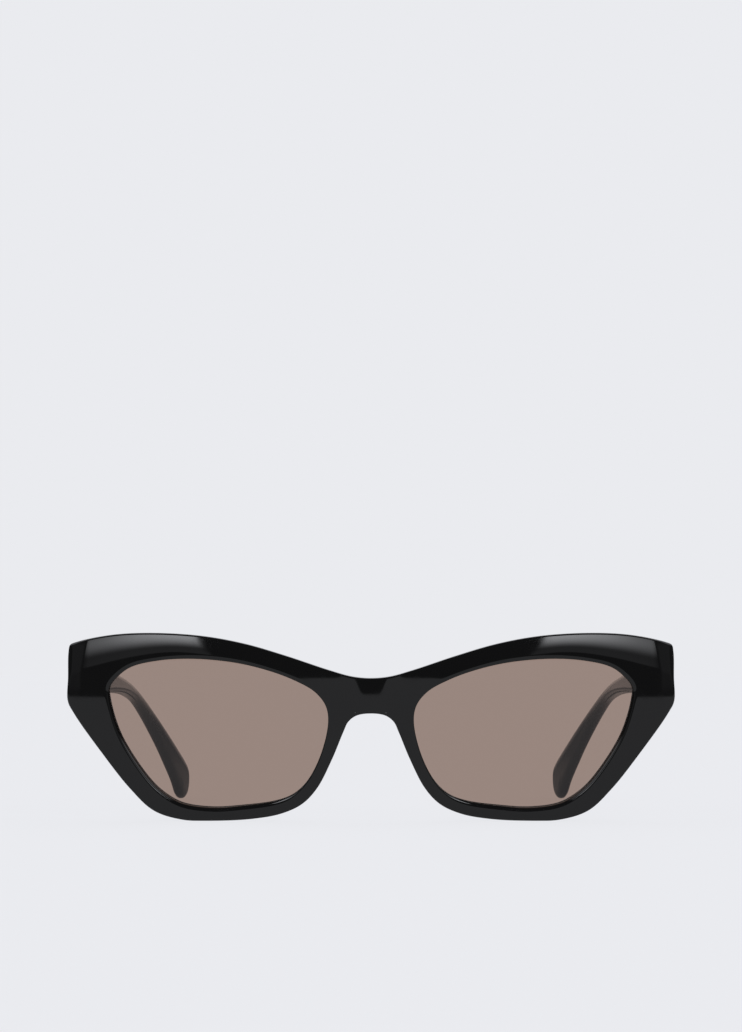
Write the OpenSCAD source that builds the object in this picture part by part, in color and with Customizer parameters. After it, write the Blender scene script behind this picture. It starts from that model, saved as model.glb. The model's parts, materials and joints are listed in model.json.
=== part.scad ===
// Cat eye sunglasses with an acetate front, tinted lenses and folding temples.
// +Z is up, the front faces -Y and the wearer's left is +X. The glasses stand open
// on the bottoms of the rims and on the ends of the temples, all at Z = 0.

/* [Front] */
// Overall width of the front
front_w = 145.2; // [142:0.4:148]
// Overall height of the front
front_h = 44.6; // [44:0.2:46]
// Thickness of the acetate sheet that the front is cut from
front_t = 4.0; // [3.8:0.1:4.4]
// Radius of the front's wrap around the face
face_r = 480; // [440:10:560]
// Forward lean of the front's top, in degrees
lean = 2.5; // [2:0.25:3]
// Distance from the bridge back to the joint with the temples
joint_y = 11.5; // [11:0.25:12.5]

/* [Lenses] */
// Thickness of a lens
lens_t = 1.6; // [1.4:0.1:1.8]
// Depth of the groove that holds a lens
groove_d = 0.7; // [0.5:0.1:0.9]
// Room around a lens in its groove
lens_gap = 0.05; // [0.03:0.01:0.1]

/* [Nose pads] */
// How far a nose pad stands out behind the front
pad_depth = 4.0; // [3:0.25:5]
// Slant of a nose pad's face, in degrees
pad_splay = 24; // [18:1:30]

/* [Temples] */
// Thickness of a temple at its hinge
temple_t = 4.9; // [4.6:0.1:5.0]
// Thickness of a temple along its ear part
tip_t = 2.9; // [2.7:0.1:3.2]
// Gap between an end piece and its open temple
joint_gap = 0.12; // [0.1:0.01:0.2]
// Width of the core wire's blade
wire_w = 1.8; // [1.6:0.1:2.0]
// Thickness of the core wire's blade
wire_t = 1.1; // [0.9:0.1:1.3]

/* [Hinges] */
// Outer radius of the hinge barrel
barrel_r = 1.5; // [1.4:0.05:1.6]
// Radius of the hinge screw
screw_r = 0.7; // [0.6:0.05:0.75]
// Running clearance between the screw and a moving knuckle
bore_gap = 0.04; // [0.02:0.01:0.08]
// Height of one knuckle
knuckle_h = 1.3; // [1.2:0.05:1.4]
// Thickness of a nylon washer between two knuckles
washer_t = 0.16; // [0.12:0.01:0.2]
// Thickness of a hinge leaf
leaf_t = 0.8; // [0.7:0.05:0.9]

/* [Hidden] */
$fn = 64;

// Size that the outlines below are drawn at, and the scales to the chosen size
drawn_w = 145.2;
drawn_h = 44.6;
kx = front_w / drawn_w;
kz = front_h / drawn_h;
side_x = front_w / 2;
steps = 5;

// Left half of the front's outline as [x, z], from the bridge's top over the brow,
// down the side, along the bottom of the rim and up the nose to the arch
front_half = [
    [0, 34], [4.5, 34.4], [10, 35.9], [20, 39.2], [30, 42.1], [40, 43.9], [52, 44.6],
    [62, 44.1], [70.4, 42.4], [72.2, 41.6], [72.6, 40], [72.6, 34], [72.6, 28.2],
    [71.2, 25.5], [64.7, 16.5], [57.4, 7.4], [51.8, 2.3], [45, 0.2], [37, 0],
    [28, 0.5], [21.4, 1.7], [16.4, 4], [12.8, 7.8], [9.2, 14.8], [6.6, 21.1],
    [5.4, 23.6], [3.4, 25.1], [0, 25.6]];

// Visible edge of the left lens as [x, z], round from its nasal side
lens_edge = [
    [10.2, 23.5], [10.8, 27.4], [13.4, 30.7], [18.4, 33.5], [25, 35.9], [33, 37.7],
    [43, 38.5], [51, 38], [57.2, 36.5], [60.6, 34.1], [62.4, 31.6], [62.3, 28.8],
    [59.7, 20.4], [53.4, 10.6], [49.6, 6.8], [45, 4.2], [38, 3.2], [31, 3.6],
    [22.4, 4.8], [18.4, 6.4], [15.2, 9.4], [12, 15.6]];

// Foot of the left nose pad on the back of the front, as [x, z]
pad_foot = [
    [6.9, 21.4], [8.3, 22.4], [9.4, 20.6], [9.9, 17.2], [11.4, 13], [13.2, 9.6],
    [13.2, 8.4], [12.6, 8.4], [9.3, 15]];

// Side view of a temple as [y, z]: its top edge back to the tip and its lower edge
// forward again. The first and last points lie on the joint with the end piece
temple_top = [
    [11, 40.9], [30, 38.3], [50, 36], [70, 34], [84, 32.5], [95, 30.3], [105, 26.2],
    [115, 20.3], [125, 14.1], [131, 10.4]];
temple_tip = [[133.3, 8.5], [134.2, 6.2], [134, 3.6], [132.6, 1], [130.2, 0]];
temple_low = [
    [127.8, 1], [125, 4.3], [120, 9.3], [115, 13.8], [105, 21.6], [95, 26.6], [84, 28.7],
    [70, 29.6], [50, 29.8], [30, 29.3], [11, 28.2]];

// Top view of a temple's inner face as [y, distance inward from the front's side]
temple_inner = [
    [11, 0.2], [30, 0.4], [50, 2.2], [70, 3.8], [85, 5], [95, 6.3], [105, 8.7],
    [115, 12], [125, 15.2], [136, 18.4]];

// Centre of the core wire: side view as [y, z]
wire_side = [
    [27, 34.1], [50, 32.9], [70, 31.8], [84, 30.6], [95, 28.5], [105, 23.9], [115, 17.1],
    [123, 10.8]];

// Hinge: its pin stands upright, just inside the temple and just behind the joint.
// A temple's leaf stands a little proud of the inner face, which starts a little in
clear = 0.25;
proud = 0.15;
temple_in = 0.2;
inner_x = side_x - temple_in - temple_t;
pin_x = inner_x - barrel_r - clear - proud;
pin_y = joint_y + barrel_r + clear;
hinge_z = 34.4 * kz;
pitch = knuckle_h + washer_t;
hinge_h = 5 * knuckle_h + 4 * washer_t;
hinge_low = hinge_z - hinge_h / 2;
leaf_long = 12;
leaf_x = inner_x - proud;
leaf_side = 0.4;
leaf_over = 1;
stud_r = 0.8;
front_stud = 1.8;
front_spread = 2.4;
temple_stud = 1.4;
temple_studs = [6.5, 10];
head_r = 1.15;
head_h = 0.8;
head_sink = 0.5;
slot_w = 0.3;
slot_d = 0.35;
screw_end = 0.1;
washer_slack = 0.02;
washer_in = 0.1;
block_x = side_x - 9.7;
block_low = 27.4 * kz;
rim_seat = 37 * kx;

// A lens sits a little forward of the middle of the sheet
lens_forward = 0.2;
lens_front = (front_t - lens_t) / 2 - lens_forward;

// A pad's slanted face turns about a line this far out from the bridge
pad_turn = 8 * kx;

// A temple thins between these distances back, and its wire runs between those
thin_from = 30;
thin_to = 95;
wire_from = 24;
wire_to = 127;
wire_room = 0.04;

// Middle of the whole object, front to back
front_most = 34 * kz * sin(lean);
tip_y = 134.2;
middle_y = (tip_y - front_most) / 2;

function mix(a, b, t) = a + (b - a) * t;
function knot(a, b) = sqrt(norm(b - a));

// Point on a centripetal curve through b and c, with a before them and d after
function curve_point(a, b, c, d, t) =
    let (k1 = knot(a, b), k2 = k1 + knot(b, c), k3 = k2 + knot(c, d), u = mix(k1, k2, t),
         p = mix(a, b, u / k1), q = mix(b, c, (u - k1) / (k2 - k1)),
         r = mix(c, d, (u - k2) / (k3 - k2)), s = mix(p, q, u / k2),
         v = mix(q, r, (u - k1) / (k3 - k1)))
    mix(s, v, (u - k1) / (k2 - k1));

// Smooth closed loop through the points
function loop(pts, n = steps) =
    let (m = len(pts))
    [for (i = [0 : m - 1]) for (j = [0 : n - 1])
        curve_point(pts[(i + m - 1) % m], pts[i], pts[(i + 1) % m], pts[(i + 2) % m], j / n)];

// Smooth open line through the points
function line(pts, n = steps) =
    let (m = len(pts), full = concat([2 * pts[0] - pts[1]], pts, [2 * pts[m - 1] - pts[m - 2]]))
    concat([for (i = [0 : m - 2]) for (j = [0 : n - 1])
        curve_point(full[i], full[i + 1], full[i + 2], full[i + 3], j / n)], [pts[m - 1]]);

function back_to_front(pts) = [for (i = [len(pts) - 1 : -1 : 0]) pts[i]];
function scaled(pts, kx, ky) = [for (p = pts) [p[0] * kx, p[1] * ky]];

// Normal to the left of the direction of travel at point i of a line or loop
function left_of(d) = [-d[1], d[0]] / norm(d);
function loop_normal(pts, i) =
    let (m = len(pts)) left_of(pts[(i + 1) % m] - pts[(i + m - 1) % m]);
function line_normal(pts, i) =
    let (m = len(pts)) left_of(pts[min(i + 1, m - 1)] - pts[max(i - 1, 0)]);

// A clockwise loop moved outward by d, and a line moved to its left by d
function grown(pts, d) = [for (i = [0 : len(pts) - 1]) pts[i] + d * loop_normal(pts, i)];
function moved(pts, d) = [for (i = [0 : len(pts) - 1]) pts[i] + d * line_normal(pts, i)];
function band(pts, w) = concat(moved(pts, w / 2), back_to_front(moved(pts, -w / 2)));

front_right = [for (i = [len(front_half) - 2 : -1 : 1]) [-front_half[i][0], front_half[i][1]]];
front_loop = loop(scaled(concat(front_half, front_right), kx, kz));
lens_loop = loop(scaled(lens_edge, kx, kz));
side_loop = scaled(concat(line(temple_top), line(temple_tip), line(temple_low)), 1, kz);
inner_line = [for (p = line(temple_inner)) [side_x - temple_t - p[1], p[0]]];
thick = [for (p = inner_line)
    mix(temple_t, tip_t, min(max((p[1] - thin_from) / (thin_to - thin_from), 0), 1))];
outer_line = [for (i = [0 : len(inner_line) - 1])
    inner_line[i] - thick[i] * line_normal(inner_line, i)];
plan_loop = concat(inner_line, back_to_front(outer_line));
wire_plan = [for (i = [0 : len(inner_line) - 1])
    if (inner_line[i][1] > wire_from && inner_line[i][1] < wire_to)
        inner_line[i] - thick[i] / 2 * line_normal(inner_line, i)];

// The object's own origin: middle of its footprint, on the surface it stands on
module place() { translate([0, -middle_y, 0]) children(); }

// Moves flat front-view shapes into the leaning front
module leaned() {
    sag = face_r - sqrt(face_r * face_r - rim_seat * rim_seat);
    translate([0, 0, -sag * sin(lean)]) rotate([lean, 0, 0]) children();
}

module upright(pts, from = -10, to = 30) {
    translate([0, to, 0]) rotate([90, 0, 0]) linear_extrude(to - from) polygon(pts);
}

// Everything behind a depth measured from the front's face, inside the wrap's cylinder
module behind(depth) {
    translate([0, face_r, -10]) cylinder(r = face_r - depth, h = 80, $fn = 720);
}

// A sheet with an outline, between two depths behind the front's face
module sheet(pts, near, far) {
    intersection() {
        upright(pts);
        difference() {
            behind(near);
            behind(far);
        }
    }
}

module left_box(x1, x2, y1, y2, z1, z2) {
    translate([x1, y1, z1]) cube([x2 - x1, y2 - y1, z2 - z1]);
}

module front_frame() {
    color("#141415") place() leaned() difference() {
        sheet(front_loop, 0, front_t);
        for (side = [0, 1]) mirror([side, 0, 0]) {
            upright(lens_loop);
            sheet(grown(lens_loop, groove_d), lens_front - lens_gap,
                  lens_front + lens_t + lens_gap);
        }
    }
}

module lens() {
    color([0.47, 0.36, 0.32, 0.55]) place() leaned()
        sheet(grown(lens_loop, groove_d - lens_gap), lens_front, lens_front + lens_t);
}

module front_leaf_solid() {
    left_box(pin_x - barrel_r - leaf_side, pin_x + barrel_r, joint_y - leaf_t, joint_y,
             hinge_low - leaf_over, hinge_low + hinge_h + leaf_over);
    for (s = [-1, 1]) translate([pin_x, joint_y - leaf_t, hinge_z + s * front_spread])
        rotate([90, 0, 0]) cylinder(r = stud_r, h = front_stud);
}

module temple_leaf_solid() {
    left_box(leaf_x, leaf_x + leaf_t, pin_y - barrel_r, joint_y + leaf_long,
             hinge_low, hinge_low + hinge_h);
    for (y = temple_studs) translate([leaf_x + leaf_t, joint_y + y, hinge_z])
        rotate([0, 90, 0]) cylinder(r = stud_r, h = temple_stud);
}

// A bonded block behind the front's corner that carries the hinge
module end_piece() {
    color("#171718") place() difference() {
        intersection() {
            leaned() intersection() {
                upright(front_loop);
                behind(front_t);
            }
            left_box(block_x, side_x + 5, 0, joint_y, block_low, front_h + 5);
        }
        front_leaf_solid();
    }
}

// A bonded pad with a slanted face, on the back of the front beside the nose
module nose_pad() {
    color("#19191a") place() leaned() intersection() {
        upright(loop(scaled(pad_foot, kx, kz)), 0, front_t + pad_depth);
        behind(front_t);
        translate([pad_turn, front_t + pad_depth, 0]) rotate([0, 0, -pad_splay])
            left_box(-15, 15, -15, 0, -5, 40);
    }
}

// One knuckle with its bore, level n from the bottom, and its tongue to a leaf
module knuckle(n, bore) {
    difference() {
        union() {
            translate([pin_x, pin_y, hinge_low + n * pitch]) cylinder(r = barrel_r, h = knuckle_h);
            children();
        }
        translate([pin_x, pin_y, hinge_low - 5]) cylinder(r = bore, h = hinge_h + 10);
    }
}

// Front leaf of the hinge: three knuckles, the lowest one tapped for the screw
module front_hinge() {
    color("#b9b9bc") place() {
        difference() {
            union() {
                front_leaf_solid();
                for (n = [0, 2, 4]) knuckle(n, n == 0 ? screw_r : screw_r + bore_gap)
                    left_box(pin_x - barrel_r, pin_x + barrel_r, joint_y - leaf_t / 2, pin_y,
                             hinge_low + n * pitch, hinge_low + n * pitch + knuckle_h);
            }
            translate([pin_x, pin_y, hinge_low + hinge_h - head_sink])
                cylinder(r = head_r + bore_gap, h = head_h);
        }
    }
}

// Temple leaf of the hinge: two knuckles between the front leaf's three
module temple_hinge() {
    color("#b9b9bc") place() union() {
        temple_leaf_solid();
        for (n = [1, 3]) knuckle(n, screw_r + bore_gap)
            left_box(pin_x, leaf_x + leaf_t / 2, pin_y - barrel_r, pin_y + barrel_r,
                     hinge_low + n * pitch, hinge_low + n * pitch + knuckle_h);
    }
}

// Slotted screw through the five knuckles
module hinge_screw() {
    top = hinge_low + hinge_h - head_sink;
    color("#c9c9cc") place() translate([pin_x, pin_y, 0]) difference() {
        union() {
            translate([0, 0, hinge_low + screw_end]) cylinder(r = screw_r, h = top - hinge_low);
            translate([0, 0, top]) cylinder(r = head_r, h = head_h);
        }
        translate([-head_r - 1, -slot_w / 2, top + head_h - slot_d])
            cube([2 * head_r + 2, slot_w, 1]);
    }
}

module hinge_washers() {
    color("#e9e6dc") place() for (n = [0 : 3])
        translate([pin_x, pin_y, hinge_low + n * pitch + knuckle_h + washer_slack / 2])
        difference() {
            cylinder(r = barrel_r - washer_in, h = washer_t - washer_slack);
            translate([0, 0, -1]) cylinder(r = screw_r + bore_gap, h = 3);
        }
}

module wire_solid(extra = 0) {
    intersection() {
        translate([0, 0, -5]) linear_extrude(60) polygon(band(wire_plan, wire_t + extra));
        translate([side_x - 40, 0, 0]) rotate([90, 0, 90]) linear_extrude(45)
            polygon(scaled(band(line(wire_side), wire_w + extra), 1, kz));
    }
}

module core_wire() { color("#a8a8ab") place() wire_solid(); }

// An arm with a bent ear part, a pocket for its hinge leaf and a slot for its wire
module temple() {
    color("#151516") place() difference() {
        intersection() {
            translate([0, 0, -5]) linear_extrude(60) polygon(plan_loop);
            translate([side_x - 40, 0, 0]) rotate([90, 0, 90]) linear_extrude(45)
                polygon(side_loop);
            left_box(0, side_x + 5, joint_y + joint_gap, tip_y + 5, -1, front_h + 5);
        }
        temple_leaf_solid();
        wire_solid(wire_room);
    }
}

module opposite() { mirror([1, 0, 0]) children(); }

front_frame();
end_piece();  // end_piece_left
opposite() end_piece();  // end_piece_right
nose_pad();  // nose_pad_left
opposite() nose_pad();  // nose_pad_right
lens();  // lens_left
opposite() lens();  // lens_right
front_hinge();  // front_hinge_left
opposite() front_hinge();  // front_hinge_right
temple_hinge();  // temple_hinge_left
opposite() temple_hinge();  // temple_hinge_right
hinge_screw();  // hinge_screw_left
opposite() hinge_screw();  // hinge_screw_right
hinge_washers();  // hinge_washers_left
opposite() hinge_washers();  // hinge_washers_right
temple();  // temple_left
opposite() temple();  // temple_right
core_wire();  // core_wire_left
opposite() core_wire();  // core_wire_right
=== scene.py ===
"""Cat eye sunglasses: the visible meshes, materials, light and camera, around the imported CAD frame.

Shapes are drawn in millimetres in the CAD's drawing frame, then placed in the row frame in metres.
"""
import json
import math

import bmesh
import bpy
import numpy as np
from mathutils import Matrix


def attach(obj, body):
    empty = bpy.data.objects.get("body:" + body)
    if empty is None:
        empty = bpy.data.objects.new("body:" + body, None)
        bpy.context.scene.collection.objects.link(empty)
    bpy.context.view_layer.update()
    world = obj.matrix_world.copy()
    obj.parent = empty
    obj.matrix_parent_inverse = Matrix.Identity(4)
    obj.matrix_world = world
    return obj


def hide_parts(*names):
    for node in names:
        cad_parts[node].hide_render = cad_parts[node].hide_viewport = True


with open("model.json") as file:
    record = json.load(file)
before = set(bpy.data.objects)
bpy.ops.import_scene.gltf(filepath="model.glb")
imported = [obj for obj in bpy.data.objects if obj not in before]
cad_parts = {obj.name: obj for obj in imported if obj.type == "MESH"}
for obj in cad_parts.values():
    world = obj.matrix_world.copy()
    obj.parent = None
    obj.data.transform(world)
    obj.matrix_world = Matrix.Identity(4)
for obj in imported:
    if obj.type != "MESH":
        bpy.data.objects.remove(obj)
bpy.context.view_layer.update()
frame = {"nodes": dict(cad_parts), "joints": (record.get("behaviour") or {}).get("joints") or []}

# ---------------------------------------------------------------- sizes, in millimetres

MM = 0.001
SIDE_X = 72.6          # half the front's width
FRONT_T = 4.0          # acetate sheet
FACE_R = 480.0         # wrap of the front
LEAN = math.radians(2.5)
RIM_SEAT = 37.0        # where the rims stand on the table
LENS_FRONT = 1.0       # depth of the lens behind the front's face
LENS_T = 1.6
LENS_GROWN = 0.65      # how far a lens reaches into its groove
GROOVE = 0.7
GROOVE_GAP = 0.05
PAD_DEPTH = 4.0
PAD_X = 8.0            # where a pad is that deep
PAD_SPLAY = math.radians(24)
PAD_SUNK = 0.1         # into the front's back
JOINT_Y = 11.5         # joint between end piece and temple
PIN_Y = 13.25          # hinge pin, from the bridge
BLOCK_X = 62.9         # inner side of an end piece
BLOCK_LOW = 27.1       # underside of an end piece, as drawn on the leaning front
BLOCK_DIP = 0.4        # its top dips this much at the inner side, where the front's back is rounded
BLOCK_DIP_W = 3.0
BLOCK_SUNK = 0.05      # into the front's back
BLOCK_SHORT = 0.04     # of the joint
TEMPLE_T = 4.9
TIP_T = 2.9
THIN_FROM = 30.0       # a temple thins from here back to here
THIN_TO = 95.0
TEMPLE_X = SIDE_X - TEMPLE_T

# Left half of the front's outline as [x, z], from the bridge's top over the brow and round
FRONT_HALF = [
    (0, 34), (4.5, 34.4), (10, 35.9), (20, 39.2), (30, 42.1), (40, 43.9), (52, 44.6),
    (62, 44.1), (70.4, 42.4), (72.2, 41.6), (72.6, 40), (72.6, 34), (72.6, 28.2),
    (71.2, 25.5), (64.7, 16.5), (57.4, 7.4), (51.8, 2.3), (45, 0.2), (37, 0),
    (28, 0.5), (21.4, 1.7), (16.4, 4), (12.8, 7.8), (9.2, 14.8), (6.6, 21.1),
    (5.4, 23.6), (3.4, 25.1), (0, 25.6)]
BROW_POINTS = 10       # of those points, how many lie on the top edge

# Visible edge of the left lens as [x, z]
LENS_EDGE = [
    (10.2, 23.5), (10.8, 27.4), (13.4, 30.7), (18.4, 33.5), (25, 35.9), (33, 37.7),
    (43, 38.5), (51, 38), (57.2, 36.5), (60.6, 34.1), (62.4, 31.6), (62.3, 28.8),
    (59.7, 20.4), (53.4, 10.6), (49.6, 6.8), (45, 4.2), (38, 3.2), (31, 3.6),
    (22.4, 4.8), (18.4, 6.4), (15.2, 9.4), (12, 15.6)]

# Foot of the left nose pad as [x, z], from its top end
PAD_FOOT = [
    (6.9, 21.4), (8.3, 22.4), (9.4, 20.6), (9.9, 17.2), (11.4, 13), (13.2, 9.6),
    (13.2, 8.4), (12.6, 8.4), (9.3, 15)]

# Left temple in side view as [y, z], from the joint to the tip: top edge, then lower edge
TEMPLE_TOP = [
    (11.62, 34.6), (11.62, 40), (11.72, 40.55), (12.2, 40.75), (30, 38.3), (50, 36), (70, 34),
    (84, 32.5), (95, 30.3), (105, 26.2), (115, 20.3), (125, 14.1), (131, 10.4), (133.3, 8.5),
    (134.2, 6.2)]
TEMPLE_LOW = [
    (11.62, 34.6), (11.62, 28.9), (11.72, 28.4), (12.2, 28.25), (30, 29.3), (50, 29.8),
    (70, 29.6), (84, 28.7), (95, 26.6), (105, 21.6), (115, 13.8), (120, 9.3), (125, 4.3),
    (127.8, 1), (130.2, 0), (132.6, 1), (134, 3.6), (134.2, 6.2)]

# A temple's inner face from above as [y, distance inward]
TEMPLE_INNER = [
    (11, 0.2), (30, 0.4), (50, 2.2), (70, 3.8), (85, 5), (95, 6.3), (105, 8.7),
    (115, 12), (125, 15.2), (136, 18.4)]

CHORDS = 40            # straight pieces between two points of a curve
SHIFT_Y = frame["joints"][0]["pos_m"][1] / MM - PIN_Y    # from drawn y to the row frame


# ---------------------------------------------------------------- curves

def mix(a, b, t):
    return a + (b - a) * t


def ramp(low, high, value):
    """Smooth step: 0 up to low, 1 from high."""
    t = np.clip((np.asarray(value, float) - low) / (high - low), 0, 1)
    return t * t * (3 - 2 * t)


def spline(points, closed=False):
    """Centripetal curve through the points, as short chords."""
    p = np.asarray(points, float)
    if closed:
        p = np.vstack([p[-1:], p, p[:2]])
    else:
        p = np.vstack([2 * p[:1] - p[1:2], p, 2 * p[-1:] - p[-2:-1]])
    a, b, c, d = (p[i:len(p) - 3 + i, None] for i in range(4))
    k1 = np.sqrt(np.linalg.norm(b - a, axis=2, keepdims=True))
    k2 = k1 + np.sqrt(np.linalg.norm(c - b, axis=2, keepdims=True))
    k3 = k2 + np.sqrt(np.linalg.norm(d - c, axis=2, keepdims=True))
    t = np.arange(CHORDS)[None, :, None] / CHORDS
    u = mix(k1, k2, t)
    ab = mix(a, b, u / k1)
    bc = mix(b, c, (u - k1) / (k2 - k1))
    cd = mix(c, d, (u - k2) / (k3 - k2))
    line = mix(mix(ab, bc, u / k2), mix(bc, cd, (u - k1) / (k3 - k1)), t).reshape(-1, 2)
    return line if closed else np.vstack([line, p[-2]])


def spaced(line, count, bend):
    """So many points along a line, closer together where it turns: a radian counts as bend mm. The
    turning is averaged over a few chords first."""
    reach = 7
    chord = np.diff(line, axis=0)
    way = np.unwrap(np.arctan2(chord[:, 1], chord[:, 0]))
    turn = np.abs(np.gradient(way))
    window = np.ones(2 * reach + 1) / (2 * reach + 1)
    turn = np.convolve(np.pad(turn, reach, mode="edge"), window, mode="valid")
    at = np.r_[0, np.cumsum(np.hypot(*chord.T) + bend * turn)]
    want = np.linspace(0, at[-1], count)
    return np.stack([np.interp(want, at, line[:, k]) for k in (0, 1)], axis=1)


def normals(line, closed=False):
    """Unit normals on the left of the direction of travel, outward on a clockwise outline."""
    way = np.roll(line, -1, axis=0) - np.roll(line, 1, axis=0)
    if not closed:
        way[0] = line[1] - line[0]
        way[-1] = line[-1] - line[-2]
    way = way / np.linalg.norm(way, axis=1, keepdims=True)
    return np.stack([-way[:, 1], way[:, 0]], axis=1)


def nearest(loop, points, rounds=8):
    """For points round a closed dense loop, their nearest places on it, smoothed along the loop, and
    the loop's normals there."""
    size = len(loop)
    at = np.linalg.norm(points[:, None] - loop[None], axis=2).argmin(axis=1)
    at = np.unwrap(at * (2 * math.pi / size)) * size / (2 * math.pi)
    lap = size * round((at[-1] - at[0]) / size)
    for _ in range(rounds):
        around = np.r_[at[-1] - lap, at, at[0] + lap]
        at = (around[:-2] + 2 * around[1:-1] + around[2:]) / 4
    low = np.floor(at).astype(int)
    part = (at - low)[:, None]
    return [mix(v[low % size], v[(low + 1) % size], part) for v in (loop, normals(loop, True))]


# ---------------------------------------------------------------- placing

def front_place(x, z, depth):
    """A point of the leaning, wrapped front: x and z as drawn, depth behind the front's face."""
    y = FACE_R - np.sqrt((FACE_R - depth) ** 2 - x ** 2)
    seat = FACE_R - math.sqrt(FACE_R ** 2 - RIM_SEAT ** 2)
    row_y = y * math.cos(LEAN) - z * math.sin(LEAN) + SHIFT_Y
    row_z = y * math.sin(LEAN) + z * math.cos(LEAN) - seat * math.sin(LEAN)
    return np.stack([x + 0 * row_y, row_y, row_z], axis=-1) * MM


def depth_at_plane(x, z, plane_y):
    """Depth behind the front's face at which a drawn x and z reach an upright plane."""
    y = (plane_y + z * math.sin(LEAN)) / math.cos(LEAN)
    return FACE_R - np.sqrt((FACE_R - y) ** 2 + x ** 2)


inner_face = spline(TEMPLE_INNER)


def temple_thickness(y, z):
    """Depth of a temple's outer face, the same at every height."""
    return mix(TEMPLE_T, TIP_T, np.clip((y - THIN_FROM) / (THIN_TO - THIN_FROM), 0, 1))


def temple_place(y, z, depth):
    """A point of the left temple: y and z in side view, depth outward from the inner face."""
    inset = np.interp(y, inner_face[:, 0], inner_face[:, 1])
    slope = np.interp(y, inner_face[:, 0], np.gradient(inner_face[:, 1], inner_face[:, 0]))
    x = TEMPLE_X - inset + depth * np.sqrt(1 + slope ** 2)
    return np.stack([x, y + SHIFT_Y + 0 * x, z + 0 * x], axis=-1) * MM


# ---------------------------------------------------------------- meshes

class Shell:
    """Collects grids of points into one mesh."""

    def __init__(self):
        self.points = []
        self.faces = []
        self.count = 0

    def grid(self, xyz, closed=False):
        """Adds a grid of points as quads; closed joins each row's last point to its first."""
        ids = np.arange(self.count, self.count + xyz[..., 0].size).reshape(xyz.shape[:2])
        self.points.append(xyz.reshape(-1, 3))
        self.count += ids.size
        if closed:
            ids = np.hstack([ids, ids[:, :1]])
        quads = np.stack([ids[:-1, :-1], ids[:-1, 1:], ids[1:, 1:], ids[1:, :-1]], axis=-1)
        self.faces.append(quads.reshape(-1, 4))

    def mesh(self, name, mirrored=False, both=False):
        """The welded mesh: as drawn, mirrored to the other side, or both sides in one."""
        points = np.vstack(self.points)
        faces = np.vstack(self.faces)
        other = points * [-1, 1, 1]
        if both:
            faces = np.vstack([faces, faces[:, ::-1] + len(points)])
            points = np.vstack([points, other])
        elif mirrored:
            faces = faces[:, ::-1]
            points = other
        mesh = bpy.data.meshes.new(name)
        mesh.from_pydata(points.tolist(), [], faces.tolist())
        bm = bmesh.new()
        bm.from_mesh(mesh)
        bmesh.ops.remove_doubles(bm, verts=bm.verts, dist=5e-7)
        bmesh.ops.recalc_face_normals(bm, faces=bm.faces)
        bm.to_mesh(mesh)
        bm.free()
        mesh.shade_smooth()
        return mesh


def piece(name, mesh, body, node, material):
    """Shows a mesh on its CAD body in place of a CAD node."""
    made = bpy.data.objects.new(name, mesh)
    bpy.context.scene.collection.objects.link(made)
    mesh.materials.append(material)
    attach(made, body)
    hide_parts(node)
    return made


def rounded(outline, out, across, deep, face, way, place, arc=6):
    """Rows that round an edge from the outline's wall to its face. way is 1 where the face is the near
    one and -1 where it is the far one; across and deep are the rounding's radii."""
    turn = np.linspace(0, math.pi / 2, arc + 1)[:, None]
    plan = outline[None] - out[None] * (across * (1 - np.cos(turn)))[..., None]
    depth = face(plan[..., 0], plan[..., 1]) + way * deep * (1 - np.sin(turn))
    return place(plan[..., 0], plan[..., 1], depth), plan[-1]


def slab(loop, place, near, far, near_r, far_r, rungs=14, walls=3):
    """A slab with a closed clockwise outline and rounded edges. The outline's two halves face each
    other, so that rungs between them cover both faces. near and far give the faces' depths; near_r
    and far_r are the edges' radii, (across, deep)."""
    shell = Shell()
    half = len(loop) // 2
    out = normals(loop, closed=True)
    walls_from = []
    for face, radius, way in ((near, near_r, 1), (far, far_r, -1)):
        across, deep = (np.broadcast_to(r, len(loop)) for r in radius)
        rows, inset = rounded(loop, out, across, deep, face, way, place)
        shell.grid(rows, closed=True)
        walls_from.append(rows[0])
        one = inset[:half + 1]
        two = np.vstack([inset[:1], inset[:half - 1:-1]])
        plan = mix(one[None], two[None], np.linspace(0, 1, rungs + 1)[:, None, None])
        shell.grid(place(plan[..., 0], plan[..., 1], face(plan[..., 0], plan[..., 1])))
    share = np.linspace(0, 1, walls + 1)[:, None, None]
    shell.grid(mix(walls_from[0][None], walls_from[1][None], share), closed=True)
    return shell


# ---------------------------------------------------------------- front

outline_half = spline(FRONT_HALF + [(-x, z) for x, z in FRONT_HALF[-2:0:-1]], closed=True)
outline_half = outline_half[:(len(FRONT_HALF) - 1) * CHORDS + 1]
outline_half[[0, -1], 0] = 0
lens_loop = spline(LENS_EDGE, closed=True)
brow_edge = outline_half[:BROW_POINTS * CHORDS]

EDGE_R = 0.4           # rounding of the front's face to its sides
BACK_R = 0.5           # and of its back
RISE_LOW = 25.3        # height at which the front starts to lean back: at the ends
RISE_HIGH = 30.2       # between bridge and brow
RISE_BRIDGE = 26.2     # in the middle of the bridge
RISE_BESIDE = 1.6      # added to RISE_HIGH just beside that
RISE_SPAN = 6.5        # height over which the lean builds up
RISE_TILT = 0.080      # its slope from there on
FACET_W = (4.6, 7.2)   # width of the polished brow facet, inward and outward
FACET_H = (0.66, 1.0)  # depth of its fall at the edge
SIDE_W = 4.9           # roll of the front's ends
SIDE_H = 0.8
BRIDGE_H = 0.8         # how far the bridge stands forward of the rims beside it
CHAMFER_W = 1.2        # chamfer round a lens
CHAMFER_NASAL = 0.35   # and on its nose side
BEAD = 0.05            # narrow upright band between chamfer and groove
LIP = LENS_FRONT - GROOVE_GAP    # depth of the groove's front side


def flat(depth):
    """A face at one depth."""
    return lambda x, z: depth + 0 * x


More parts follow.
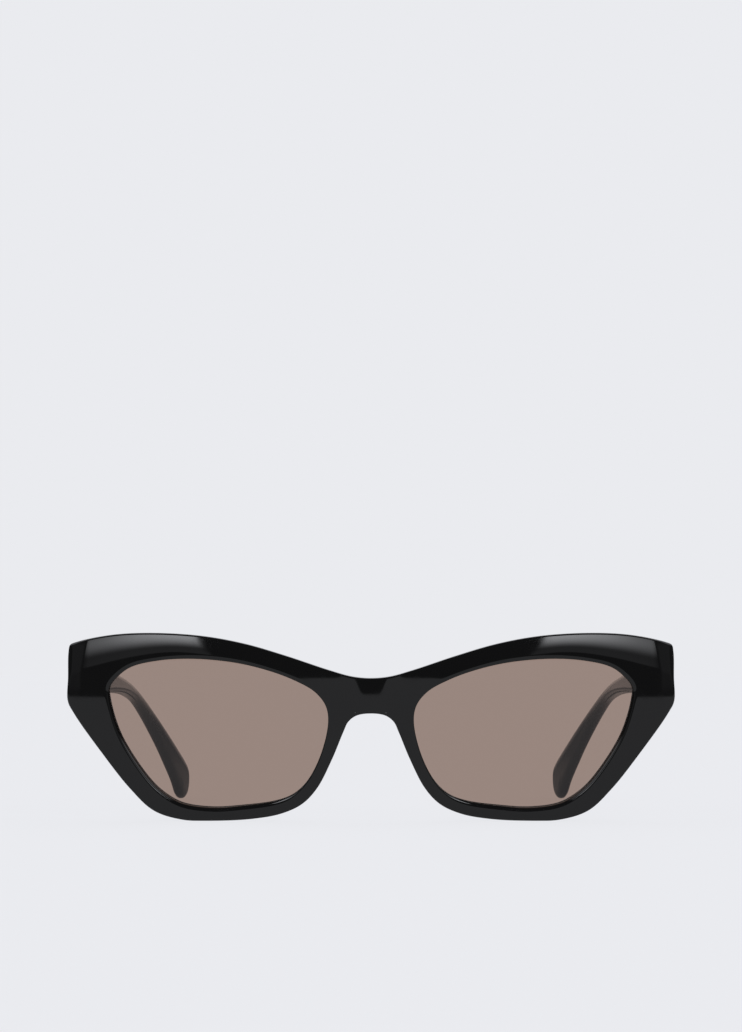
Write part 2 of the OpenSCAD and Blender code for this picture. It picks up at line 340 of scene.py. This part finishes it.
def front_face(x, z):
    """Depth of the front's face behind the plain wrapped sheet: the bridge is a soft ridge, the brow
    leans back and carries a polished facet along its top edge, and the ends roll over."""
    low = mix(RISE_BRIDGE, RISE_HIGH + RISE_BESIDE * (1 - ramp(5.5, 8, x)), ramp(1.8, 5, x))
    low = mix(low, RISE_LOW, ramp(26, 56, x))
    over = z - low
    rise = RISE_TILT * (np.clip(over, 0, RISE_SPAN) ** 2 / (2 * RISE_SPAN)
                        + np.maximum(over - RISE_SPAN, 0))
    bridge = BRIDGE_H * ramp(0, 11, x) * (1 - ramp(13, 38, x))
    edge_z = np.interp(x, brow_edge[:, 0], brow_edge[:, 1])
    slope = np.interp(x, brow_edge[:, 0], np.gradient(brow_edge[:, 1], brow_edge[:, 0]))
    below = (edge_z - z) / np.sqrt(1 + np.minimum(slope ** 2, 1))
    outward = ramp(44, 68, x)
    width = mix(*FACET_W, outward)
    facet = mix(*FACET_H, outward) * ramp(14, 34, x) * np.clip(1 - below / width, 0, 1.1) ** 2
    side = SIDE_H * np.clip(1 - (SIDE_X - x) / SIDE_W, 0, 1.1) ** 2
    return rise + bridge + facet + side


def chamfer_rows(edge, out):
    """Rows from the lens groove's lip up the chamfer to the front's face, as plan and depth."""
    wide = mix(CHAMFER_NASAL, CHAMFER_W, ramp(-0.9, -0.2, out[:, 0]))
    plan = []
    depth = []
    for share in np.linspace(0, 1, 13):
        at = edge + out * (wide * share)[:, None]
        face = front_face(at[:, 0], at[:, 1])
        plan.append(at)
        depth.append(face + (LIP - BEAD - face) * (1 - share) ** 3)
    return np.array(plan), np.array(depth)


def groove_rows(edge, out):
    """Rows round the lens groove, from the chamfer's foot to the rounded edge of the front's back."""
    far = LENS_FRONT + LENS_T + GROOVE_GAP
    profile = [(0, LIP - BEAD), (0, LIP), (GROOVE, LIP), (GROOVE, far), (0, far)]
    profile += [(BACK_R * (1 - math.cos(t)), FRONT_T - BACK_R * (1 - math.sin(t)))
                for t in np.linspace(0, math.pi / 2, 6)]
    return np.array([front_place(*(edge + out * offset).T, at) for offset, at in profile])


def sheet(inner, outer, share, face):
    """Rows on a face of the front between two lines in plan."""
    plan = mix(inner[None], outer[None], share[:, None, None])
    return front_place(plan[..., 0], plan[..., 1], face(plan[..., 0], plan[..., 1]))


def with_middle(line, count):
    """A half outline with points added down the front's middle, from its end back to its start."""
    share = np.linspace(0, 1, count + 1)[1:-1, None]
    return np.vstack([line, mix(line[-1:], line[:1], share)])


def front_shell():
    """Half of the front, from x = 0 to the wearer's left. Rows close together at both ends of a face
    keep its shading flat up to the roundings."""
    stations = 330
    middle = 24
    ring = spaced(outline_half, stations, bend=5)
    ring[[0, -1], 0] = 0
    out = normals(ring)
    out[[0, -1]] = (0, 1), (0, -1)
    x, z = ring.T
    block = ramp(61.5, 62.4, x) * ramp(26.4, 27.3, z)
    edge_r = np.full(stations, EDGE_R)
    back_r = BACK_R * (1 - 0.96 * block)    # nearly sharp where the end piece stands
    shell = Shell()
    near, near_in = rounded(ring, out, edge_r, edge_r, front_face, 1, front_place, arc=8)
    far, far_in = rounded(ring, out, back_r, back_r, flat(FRONT_T), -1, front_place)
    shell.grid(near)
    shell.grid(far)
    shell.grid(mix(near[:1], far[:1], np.linspace(0, 1, 5)[:, None, None]))

    near_in = with_middle(near_in, middle)
    far_in = with_middle(far_in, middle)
    edge, edge_out = nearest(lens_loop, near_in)
    plan, depth = chamfer_rows(edge, edge_out)
    shell.grid(front_place(plan[..., 0], plan[..., 1], depth), closed=True)
    share = np.r_[0, 0.015, np.linspace(0.05, 0.95, 27), 0.985, 1]
    shell.grid(sheet(plan[-1], near_in, share, front_face), closed=True)
    shell.grid(groove_rows(edge, edge_out), closed=True)
    share = np.r_[0, 0.03, np.linspace(0.12, 0.88, 8), 0.97, 1]
    shell.grid(sheet(edge + edge_out * BACK_R, far_in, share, flat(FRONT_T)), closed=True)
    return shell


def lens_shell():
    """A lens, grown past its visible edge into the groove."""
    loop = spaced(np.vstack([lens_loop, lens_loop[:1]]), 181, bend=2)[:-1]
    loop = loop + normals(loop, closed=True) * LENS_GROWN
    return slab(loop, front_place, flat(LENS_FRONT), flat(LENS_FRONT + LENS_T), (0.1, 0.1), (0.1, 0.1))


def nose_pad_shell():
    """A nose pad, whose back slopes to the nose."""
    loop = spline(PAD_FOOT, closed=True)
    loop = spaced(np.vstack([loop, loop[:1]]), 97, bend=2)[:-1]

    def back(x, z):
        return FRONT_T + PAD_DEPTH - math.tan(PAD_SPLAY) * (x - PAD_X) - x ** 2 / (2 * FACE_R)

    return slab(loop, front_place, flat(FRONT_T - PAD_SUNK), back, (0.02, 0.02), (0.55, 1.5))


def end_piece_shell():
    """The block between the front's corner and the joint, flush with the front's outline."""
    outer = outline_half[(outline_half[:, 0] > BLOCK_X) & (outline_half[:, 1] > BLOCK_LOW)]
    outer = spaced(outer, 60, bend=5)
    top_x = outer[:30, 0]
    outer[:30, 1] -= BLOCK_DIP * (1 - ramp(BLOCK_X, BLOCK_X + BLOCK_DIP_W, top_x))
    top = mix(np.array([[BLOCK_X, outer[0, 1]]]), outer[:1], np.linspace(0, 1, 5)[:-1, None])
    low = mix(outer[-1:], np.array([[BLOCK_X, BLOCK_LOW]]), np.linspace(0, 1, 30)[1:, None])
    side = mix(low[-1:], top[:1], np.linspace(0, 1, 35)[1:-1, None])
    loop = np.vstack([top, outer, low, side])

    def back(x, z):
        return depth_at_plane(x, z, JOINT_Y - BLOCK_SHORT)

    return slab(loop, front_place, flat(FRONT_T - BLOCK_SUNK), back, (0.01, 0.01), (0.3, 0.3))


def temple_shell():
    """A temple with a firm edge at the joint, and a softer one towards the ear, most on its top."""
    along = 170
    top = spaced(spline(TEMPLE_TOP), along, bend=8)
    low = spaced(spline(TEMPLE_LOW), along, bend=8)
    loop = np.vstack([top, low[-2:0:-1]])
    deep = mix(0.25, 1.25, ramp(11.6, 20, loop[:, 0]))
    across = mix(deep, 2.3, ramp(118, 129, loop[:, 0]))
    across[:along] = mix(deep, 2.3, ramp(75, 110, loop[:, 0]))[:along]
    radii = (across, deep)
    return slab(loop, temple_place, flat(0), temple_thickness, radii, radii, rungs=16)


# ---------------------------------------------------------------- materials

class Nodes:
    """Short way to write a node tree."""

    def __init__(self, owner):
        owner.use_nodes = True
        self.tree = owner.node_tree
        self.tree.nodes.clear()

    def add(self, kind, inputs=None, **settings):
        """A node with its settings, and its inputs as plain values or as other nodes' outputs."""
        made = self.tree.nodes.new(kind)
        for key, value in settings.items():
            setattr(made, key, value)
        for key, value in (inputs or {}).items():
            if isinstance(value, bpy.types.NodeSocket):
                self.tree.links.new(value, made.inputs[key])
            else:
                made.inputs[key].default_value = value
        return made

    def math(self, operation, *values, clamp=False):
        inputs = dict(enumerate(values))
        return self.add("ShaderNodeMath", inputs, operation=operation, use_clamp=clamp).outputs[0]

    def smooth(self, value, low, high, start=0.0, end=1.0):
        """Smooth step of a value from start at low to end at high."""
        inputs = {"Value": value, "From Min": low, "From Max": high, "To Min": start, "To Max": end}
        return self.add("ShaderNodeMapRange", inputs, interpolation_type="SMOOTHSTEP").outputs[0]

    def place(self, scale=(1, 1, 1)):
        """The piece's own coordinates, in metres, scaled."""
        where = self.add("ShaderNodeTexCoord").outputs["Object"]
        return self.add("ShaderNodeMapping", {"Vector": where, "Scale": scale}).outputs[0]

    def noise(self, scale, detail=2.0, stretch=(1, 1, 1)):
        inputs = {"Vector": self.place(stretch), "Scale": scale, "Detail": detail}
        return self.add("ShaderNodeTexNoise", inputs).outputs["Fac"]

    def bump(self, height, strength, distance):
        inputs = {"Height": height, "Strength": strength, "Distance": distance}
        return self.add("ShaderNodeBump", inputs).outputs[0]

    def colour(self, factor, one, two):
        """A colour between two, by a factor."""
        made = self.add("ShaderNodeMix", data_type="RGBA")
        self.tree.links.new(factor, made.inputs[0])
        made.inputs[6].default_value = (*one, 1)
        made.inputs[7].default_value = (*two, 1)
        return made.outputs[2]

    def surface(self, shader, kind="Material"):
        self.add("ShaderNodeOutput" + kind, {"Surface": shader.outputs[0]})


def acetate(name, gloss):
    """Polished black cellulose acetate: a barely uneven black, a tumbled polish, faint wipe marks."""
    made = bpy.data.materials.new(name)
    n = Nodes(made)
    cloud = n.noise(90, 3)
    wipe = n.noise(500, 2, (1, 0.25, 0.6))
    ripple = n.bump(n.noise(120, 1), 0.04, 0.00005)
    n.surface(n.add("ShaderNodeBsdfPrincipled", {
        "Base Color": n.colour(cloud, (0.0020, 0.0020, 0.0022), (0.0042, 0.0040, 0.0040)),
        "Roughness": n.smooth(wipe, 0.35, 0.7, gloss, gloss + 0.03),
        "IOR": 1.48,
        "Normal": ripple}))
    return made


def tinted_lens():
    """Brown-grey tinted nylon with a hard coat. Light crosses two faces, so each carries half of the
    tint, and only the face it meets from outside is glossy."""
    made = bpy.data.materials.new("lens_tint")
    n = Nodes(made)
    cloud = n.noise(25, 1)
    tint = n.colour(cloud, (0.611, 0.523, 0.475), (0.615, 0.527, 0.479))
    clear = n.add("ShaderNodeBsdfTransparent", {"Color": tint})
    rough = n.smooth(n.noise(700, 2), 0.3, 0.7, 0.01, 0.03)
    gloss = n.add("ShaderNodeBsdfGlossy", {"Roughness": rough, "Color": (0.95, 0.97, 1.0, 1)})
    inside = n.add("ShaderNodeNewGeometry").outputs["Backfacing"]
    edge = n.math("MULTIPLY", n.add("ShaderNodeFresnel", {"IOR": 1.5}).outputs[0],
                  n.math("SUBTRACT", 1.0, inside))
    blend = n.add("ShaderNodeMixShader", {0: edge})
    n.tree.links.new(clear.outputs[0], blend.inputs[1])
    n.tree.links.new(gloss.outputs[0], blend.inputs[2])
    n.surface(blend)
    return made


def brushed_metal(name, tone, stretch, rough):
    """Nickel silver or steel with fine drawn lines and a few duller patches."""
    made = bpy.data.materials.new(name)
    n = Nodes(made)
    lines = n.noise(4000, 2, stretch)
    dull = n.noise(500, 3)
    shade = [c * 0.82 for c in tone]
    n.surface(n.add("ShaderNodeBsdfPrincipled", {
        "Base Color": n.colour(dull, shade, tone),
        "Metallic": 1.0,
        "Roughness": n.smooth(lines, 0.3, 0.7, rough, rough + 0.14),
        "Normal": n.bump(lines, 0.25, 0.00001)}))
    return made


def nylon():
    """Milky washers with a moulded grain."""
    made = bpy.data.materials.new("washer_nylon")
    n = Nodes(made)
    grain = n.noise(3000, 2)
    n.surface(n.add("ShaderNodeBsdfPrincipled", {
        "Base Color": n.colour(grain, (0.72, 0.70, 0.62), (0.84, 0.82, 0.76)),
        "Roughness": n.smooth(grain, 0.3, 0.7, 0.38, 0.5),
        "Subsurface Weight": 0.2,
        "Subsurface Radius": (0.0006, 0.0006, 0.0005),
        "Normal": n.bump(grain, 0.1, 0.00001)}))
    return made


# ---------------------------------------------------------------- light, floor and camera

BACKDROP = (0.823, 0.831, 0.863)
TABLE_SEEN = 0.936     # the table's own light as seen
TABLE_FRONT = 0.56     # as mirrored in the glasses, in front of them
TABLE_BACK = 0.2       # behind them
TABLE_FAR = 0.5        # added far behind them
TABLE_MATT = (0.07, 0.07, 0.073)    # its own colour, for what light falls on it
ROOM = 0.12            # light of the dark room

# Plain soft boxes: angles from the camera's side (from, to), angles up (from, to), softness, power
SOFT_BOXES = (
    (38, 62, 0, 25, 6, 0.15),
    (62, 115, 25, 60, 8, 1.6),
    (135, 200, 28, 65, 8, 1.8))
BROW_BOX = (14, 31, 6, 36, 1.2)    # the one that the brow facets mirror, which gets brighter upward
EYE_BACK = 800.0       # camera in front of the bridge, in millimetres
EYE_HIGH = 39.0
EYE_TIP = 2.4          # degrees up
EYE_LENS = 117.2       # focal length on a sensor 36 wide


def studio():
    """One light all round, the same on both sides: a dark room over a pale floor, soft boxes, and a
    glow behind the object for the temples' inner faces."""
    world = bpy.data.worlds.new("studio")
    bpy.context.scene.world = world
    n = Nodes(world)
    way = n.add("ShaderNodeSeparateXYZ",
                {"Vector": n.add("ShaderNodeTexCoord").outputs["Generated"]}).outputs
    up = n.math("MULTIPLY", n.math("ARCSINE", way["Z"]), 180 / math.pi)
    ahead = n.math("MULTIPLY", way["Y"], -1.0)
    turn = n.math("ARCTAN2", n.math("ABSOLUTE", way["X"]), ahead)
    aside = n.math("MULTIPLY", turn, 180 / math.pi)

    def box(from_side, to_side, low, high, soft, power):
        """A soft box between two angles from the camera's side and two angles up, in degrees."""
        inside = n.math("MULTIPLY", n.smooth(aside, from_side - soft, from_side),
                        n.smooth(aside, to_side, to_side + soft, 1.0, 0.0))
        height = n.math("MULTIPLY", n.smooth(up, low, low + soft),
                        n.smooth(up, high, high + soft, 1.0, 0.0))
        return n.math("MULTIPLY", n.math("MULTIPLY", inside, height), power)

    brighter_upward = n.smooth(up, 14, 32, 0.3, 7.0)
    dimmer_outward = n.smooth(aside, 17, 34, 1.0, 0.2)
    glow = box(*BROW_BOX, n.math("MULTIPLY", brighter_upward, dimmer_outward))
    for soft_box in SOFT_BOXES:
        glow = n.math("ADD", glow, box(*soft_box))
    behind = n.math("MULTIPLY", n.smooth(aside, 125, 175), n.smooth(up, 15, 50, 1.0, 0.3))
    glow = n.math("ADD", glow, n.math("ADD", behind, ROOM))
    glow = n.math("ADD", n.math("MULTIPLY", glow, n.smooth(up, -0.2, 0.2)),
                  n.smooth(up, -0.2, 0.2, TABLE_FRONT, 0.0))
    room = n.add("ShaderNodeBackground", {"Color": (*BACKDROP, 1), "Strength": glow})
    wall = n.add("ShaderNodeBackground", {"Color": (*BACKDROP, 1), "Strength": 1.0})
    seen = n.add("ShaderNodeLightPath").outputs["Is Camera Ray"]
    both = n.add("ShaderNodeMixShader", {0: seen})
    n.tree.links.new(room.outputs[0], both.inputs[1])
    n.tree.links.new(wall.outputs[0], both.inputs[2])
    n.surface(both, "World")


def floor():
    """A pale table with its own light, so that it looks as plain as the wall."""
    made = bpy.data.materials.new("table")
    n = Nodes(made)
    where = n.add("ShaderNodeSeparateXYZ", {"Vector": n.place()}).outputs["Y"]
    mirrored = n.math("ADD", n.smooth(where, 0.05, 0.5, TABLE_FRONT, TABLE_BACK),
                      n.smooth(where, 0.9, 2.6, 0.0, TABLE_FAR))
    seen = n.add("ShaderNodeLightPath").outputs["Is Camera Ray"]
    power = n.add("ShaderNodeMix", {0: seen, 2: mirrored, 3: TABLE_SEEN}).outputs[0]
    lit = n.add("ShaderNodeEmission", {"Color": (*BACKDROP, 1), "Strength": power})
    matt = n.add("ShaderNodeBsdfDiffuse", {"Color": (*TABLE_MATT, 1)})
    both = n.add("ShaderNodeAddShader")
    n.tree.links.new(lit.outputs[0], both.inputs[0])
    n.tree.links.new(matt.outputs[0], both.inputs[1])
    n.surface(both)
    mesh = bpy.data.meshes.new("table")
    reach = 6.0    # metres
    corners = [(-reach, -reach, 0), (reach, -reach, 0), (reach, reach, 0), (-reach, reach, 0)]
    mesh.from_pydata(corners, [], [(0, 1, 2, 3)])
    mesh.materials.append(made)
    table = bpy.data.objects.new("table", mesh)
    bpy.context.scene.collection.objects.link(table)


def camera():
    """Eye level with the brow, 0.8 m in front, tipped up so that the glasses stand low in the frame."""
    data = bpy.data.cameras.new("camera")
    data.sensor_width = 36
    data.lens = EYE_LENS
    data.clip_start = 0.05
    data.clip_end = 50
    eye = bpy.data.objects.new("camera", data)
    eye.location = (0, (SHIFT_Y - EYE_BACK) * MM, EYE_HIGH * MM)
    eye.rotation_euler = (math.radians(90 + EYE_TIP), 0, 0)
    bpy.context.scene.collection.objects.link(eye)
    bpy.context.scene.camera = eye
    bpy.context.scene.view_settings.view_transform = "Standard"


# ---------------------------------------------------------------- the glasses

camera()
studio()
floor()

front_black = acetate("front_acetate", 0.04)
pad_black = acetate("nose_pad_acetate", 0.09)
block_black = acetate("end_piece_acetate", 0.05)
temple_black = acetate("temple_acetate", 0.06)
lens_tint = tinted_lens()
nickel = brushed_metal("hinge_nickel_silver", (0.66, 0.65, 0.63), (1, 1, 0.04), 0.24)
steel = brushed_metal("screw_steel", (0.60, 0.60, 0.61), (1, 1, 0.03), 0.18)
wire_steel = brushed_metal("wire_steel", (0.48, 0.48, 0.49), (1, 0.02, 1), 0.3)
washer = nylon()

piece("front", front_shell().mesh("front", both=True), "front", "front_frame",
      front_black)
for side, mirrored in (("left", False), ("right", True)):
    arm = f"temple_{side}_arm"
    piece(f"lens_visible_{side}", lens_shell().mesh("lens", mirrored), "front", f"lens_{side}",
          lens_tint)
    piece(f"nose_pad_visible_{side}", nose_pad_shell().mesh("nose_pad", mirrored), "front",
          f"nose_pad_{side}", pad_black)
    piece(f"end_piece_visible_{side}", end_piece_shell().mesh("end_piece", mirrored), "front",
          f"end_piece_{side}", block_black)
    piece(f"temple_visible_{side}", temple_shell().mesh("temple", mirrored), arm,
          f"temple_{side}", temple_black)
    hardware = {"front_hinge": nickel, "temple_hinge": nickel, "hinge_screw": steel,
                "hinge_washers": washer, "core_wire": wire_steel}
    for stem, material in hardware.items():    # these keep their CAD meshes
        for slot in frame["nodes"][f"{stem}_{side}"].material_slots:
            slot.material = material
